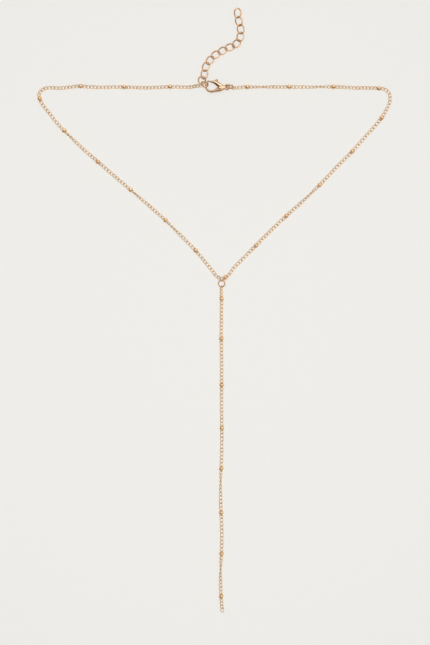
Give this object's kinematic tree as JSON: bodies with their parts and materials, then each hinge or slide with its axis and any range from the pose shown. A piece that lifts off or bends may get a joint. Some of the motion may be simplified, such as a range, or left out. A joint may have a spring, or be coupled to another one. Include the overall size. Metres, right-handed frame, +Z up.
{
  "type": "drop necklace",
  "caption": "Lariat necklace of fine beaded curb chain with a lobster clasp, an extender chain and one long beaded drop, laid out flat.",
  "frame": {"origin": "middle of the laid-out necklace's bounding box, on the surface that it lies on", "axes": "+X across the neck loop, +Y from the drop's end to the extender's end, +Z up from the surface"},
  "size_m": [0.1771, 0.3021, 0.0037],
  "materials": {
    "gold_chain": "polished rose-gold plate on fine curb links",
    "gold_bead": "polished rose-gold plate on small round beads",
    "gold_ring": "bright rose-gold plate on round wire",
    "gold_clasp": "bright rose-gold plate on cast metal"
  },
  "bodies": {
    "root": {"neck_chain_left": "gold_chain", "neck_chain_right": "gold_chain", "drop_chain": "gold_chain", "drop_ring": "gold_ring", "end_ring": "gold_ring", "clasp_ring": "gold_ring", "clasp_body": "gold_clasp", "clasp_pin": "gold_clasp", "extender_link_1": "gold_ring", "extender_link_2": "gold_ring", "extender_link_3": "gold_ring", "extender_link_4": "gold_ring", "extender_link_5": "gold_ring", "extender_link_6": "gold_ring", "extender_link_7": "gold_ring", "extender_link_8": "gold_ring", "extender_link_9": "gold_ring", "extender_link_10": "gold_ring", "extender_link_11": "gold_ring", "extender_link_12": "gold_ring", "neck_bead_1": "gold_bead", "neck_bead_2": "gold_bead", "neck_bead_3": "gold_bead", "neck_bead_4": "gold_bead", "neck_bead_5": "gold_bead", "neck_bead_6": "gold_bead", "neck_bead_7": "gold_bead", "neck_bead_8": "gold_bead", "neck_bead_9": "gold_bead", "neck_bead_10": "gold_bead", "neck_bead_11": "gold_bead", "neck_bead_12": "gold_bead", "neck_bead_13": "gold_bead", "neck_bead_14": "gold_bead", "neck_bead_15": "gold_bead", "neck_bead_16": "gold_bead", "neck_bead_17": "gold_bead", "neck_bead_18": "gold_bead", "neck_bead_19": "gold_bead", "drop_bead_1": "gold_bead", "drop_bead_2": "gold_bead", "drop_bead_3": "gold_bead", "drop_bead_4": "gold_bead", "drop_bead_5": "gold_bead", "drop_bead_6": "gold_bead", "drop_bead_7": "gold_bead", "drop_bead_8": "gold_bead"},
    "lever": {"clasp_lever": "gold_clasp"}
  },
  "joints": [
    {"name": "clasp_lever_hinge", "type": "hinge", "parent": "root", "child": "lever", "pos_m": [0.0033, 0.11205, 0.0013], "axis": [0, 0, 1], "range_deg": [0, 20], "stiffness_Nm_per_rad": 0.0008}
  ]
}
